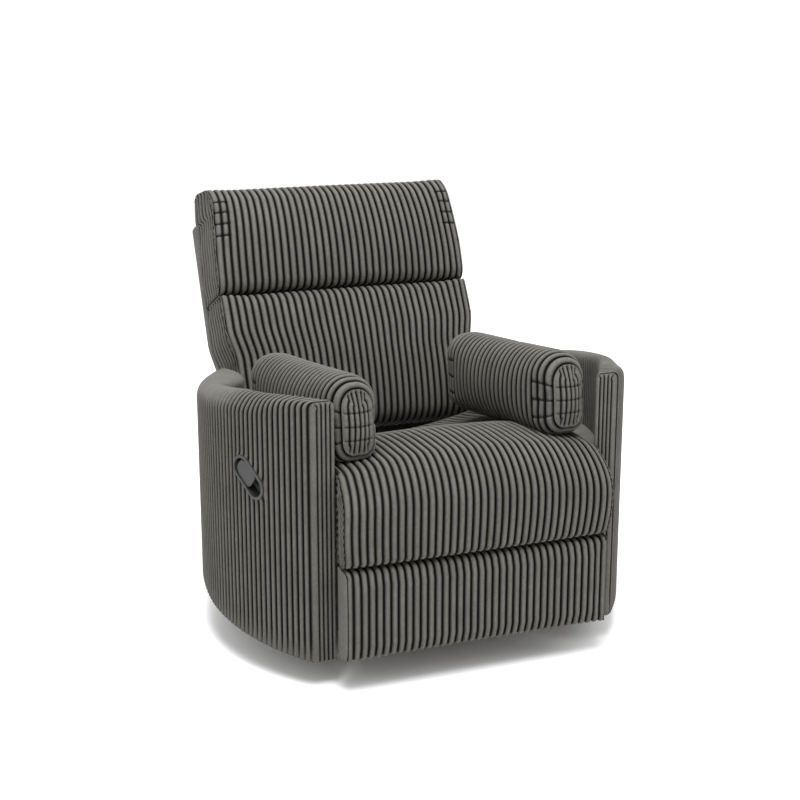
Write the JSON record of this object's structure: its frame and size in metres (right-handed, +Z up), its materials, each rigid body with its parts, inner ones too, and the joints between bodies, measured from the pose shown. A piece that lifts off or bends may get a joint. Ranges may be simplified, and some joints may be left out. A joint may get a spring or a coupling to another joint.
{
  "type": "swivel glider recliner",
  "caption": "Ribbed upholstered recliner with curved wraparound arms that swivels, glides, reclines and folds out a footrest, with loose arm pillows.",
  "frame": {"origin": "on the floor under the swivel axis, at the middle of the closed chair's plan", "axes": "+X towards the sitter's left arm, +Y towards the back, +Z up; the front faces -Y"},
  "size_m": [0.974, 1.1192, 0.9449],
  "materials": {
    "steel_black": "satin black powder coat",
    "steel_bright": "zinc plated",
    "plastic_black": "matt moulded plastic",
    "wood": "raw plywood",
    "plush_ribbed": "ribbed dark warm grey plush",
    "plush_plain": "plain dark warm grey plush",
    "handle_dark": "satin dark plastic"
  },
  "bodies": {
    "base": {"floor_ring": "steel_black", "floor_feet": "plastic_black", "base_spider": "steel_black", "swivel_lower_race": "steel_bright", "bearing_ring": "plastic_black", "spider_bolts": "steel_bright"},
    "turntable": {"swivel_upper_race": "steel_bright", "glider_crossbars": "steel_black", "glider_tower_right": "steel_black", "glider_tower_left": "steel_black", "upper_glide_pins": "steel_bright"},
    "front_glide_links": {"glide_link_front_right": "steel_black", "glide_link_front_left": "steel_black"},
    "rear_glide_links": {"glide_link_rear_right": "steel_black", "glide_link_rear_left": "steel_black"},
    "carrier": {"carrier_rail_right": "steel_black", "carrier_rail_left": "steel_black", "lower_glide_pins": "steel_bright", "front_cross_tube": "steel_black", "rear_cross_tube": "steel_black", "side_plate_right": "steel_black", "side_plate_left": "steel_black", "side_plate_pins": "steel_bright", "seat_frame": "wood", "seat_springs": "steel_bright", "seat_cushion": "plush_ribbed", "rear_apron": "plush_plain", "arm_frame_right": "wood", "arm_frame_left": "wood", "arm_right": "plush_ribbed", "arm_left": "plush_ribbed", "handle_bezel": "handle_dark", "handle_cup": "handle_dark", "paddle_pin": "steel_bright"},
    "backrest": {"outer_back": "plush_plain", "back_frame": "wood", "lumbar_cushion": "plush_ribbed", "head_cushion": "plush_ribbed", "back_bracket_right": "steel_black", "back_bracket_left": "steel_black"},
    "drive_links": {"drive_link_right": "steel_black", "drive_link_left": "steel_black", "drive_rivets": "steel_bright"},
    "cross_links": {"cross_link_right": "steel_black", "cross_link_left": "steel_black", "cross_rivets": "steel_bright"},
    "front_links": {"front_link_right": "steel_black", "front_link_left": "steel_black"},
    "control_links": {"control_link_right": "steel_black", "control_link_left": "steel_black"},
    "footrest": {"footrest_bracket_right": "steel_black", "footrest_bracket_left": "steel_black", "bracket_rivets": "steel_bright", "footrest_board": "wood", "footrest_pad": "plush_ribbed"},
    "paddle": {"release_paddle": "handle_dark"},
    "pillow_left": {"arm_pillow_left": "plush_ribbed"},
    "pillow_right": {"arm_pillow_right": "plush_ribbed"}
  },
  "joints": [
    {"name": "swivel", "type": "hinge", "parent": "base", "child": "turntable", "pos_m": [0, 0, 0], "axis": [0, 0, 1], "continuous": true},
    {"name": "glide", "type": "hinge", "parent": "turntable", "child": "front_glide_links", "pos_m": [0, -0.18, 0.2], "axis": [1, 0, 0], "range_deg": [-18, 18]},
    {"name": "glide_carrier", "type": "hinge", "parent": "front_glide_links", "child": "carrier", "pos_m": [0, -0.18, 0.065], "axis": [1, 0, 0], "range_deg": [-18, 18]},
    {"name": "glide_rear", "type": "hinge", "parent": "turntable", "child": "rear_glide_links", "pos_m": [0, 0.18, 0.2], "axis": [1, 0, 0], "range_deg": [-18, 18]},
    {"name": "recline", "type": "hinge", "parent": "carrier", "child": "backrest", "pos_m": [0, 0.235, 0.3], "axis": [-1, 0, 0], "range_deg": [0, 38]},
    {"name": "footrest_extend", "type": "hinge", "parent": "carrier", "child": "drive_links", "pos_m": [0, -0.4324, 0.2334], "axis": [-1, 0, 0], "range_deg": [0, 84]},
    {"name": "footrest_cross", "type": "hinge", "parent": "drive_links", "child": "cross_links", "pos_m": [0, -0.4674, 0.0978], "axis": [-1, 0, 0], "range_deg": [-148, 0]},
    {"name": "footrest_front", "type": "hinge", "parent": "drive_links", "child": "front_links", "pos_m": [0, -0.4773, 0.0595], "axis": [-1, 0, 0], "range_deg": [-148, 0]},
    {"name": "footrest_pivot", "type": "hinge", "parent": "cross_links", "child": "footrest", "pos_m": [0, -0.48335, 0.2569], "axis": [-1, 0, 0], "range_deg": [0, 148]},
    {"name": "footrest_control", "type": "hinge", "parent": "carrier", "child": "control_links", "pos_m": [0, -0.3959, 0.2598], "axis": [-1, 0, 0], "range_deg": [0, 74]},
    {"name": "release", "type": "hinge", "parent": "carrier", "child": "paddle", "pos_m": [-0.44974, -0.31953, 0.46407], "axis": [-0.2614, 0.5872, -0.766], "range_deg": [0, 30], "stiffness_Nm_per_rad": 0.3, "springref_deg": -11.46},
    {"name": "pillow_left_lift", "type": "slide", "parent": "carrier", "child": "pillow_left", "axis": [0, 0, 1], "range_m": [0, 0.15]},
    {"name": "pillow_right_lift", "type": "slide", "parent": "carrier", "child": "pillow_right", "axis": [0, 0, 1], "range_m": [0, 0.15]}
  ],
  "couplings": [
    {"joint": "glide_carrier", "follows": "glide", "ratio": -1},
    {"joint": "glide_rear", "follows": "glide", "ratio": 1},
    {"joint": "footrest_cross", "follows": "footrest_extend", "ratio": -1.7585},
    {"joint": "footrest_front", "follows": "footrest_extend", "ratio": -1.7585},
    {"joint": "footrest_pivot", "follows": "footrest_extend", "ratio": 1.7585},
    {"joint": "footrest_control", "follows": "footrest_extend", "ratio": 0.87197}
  ]
}
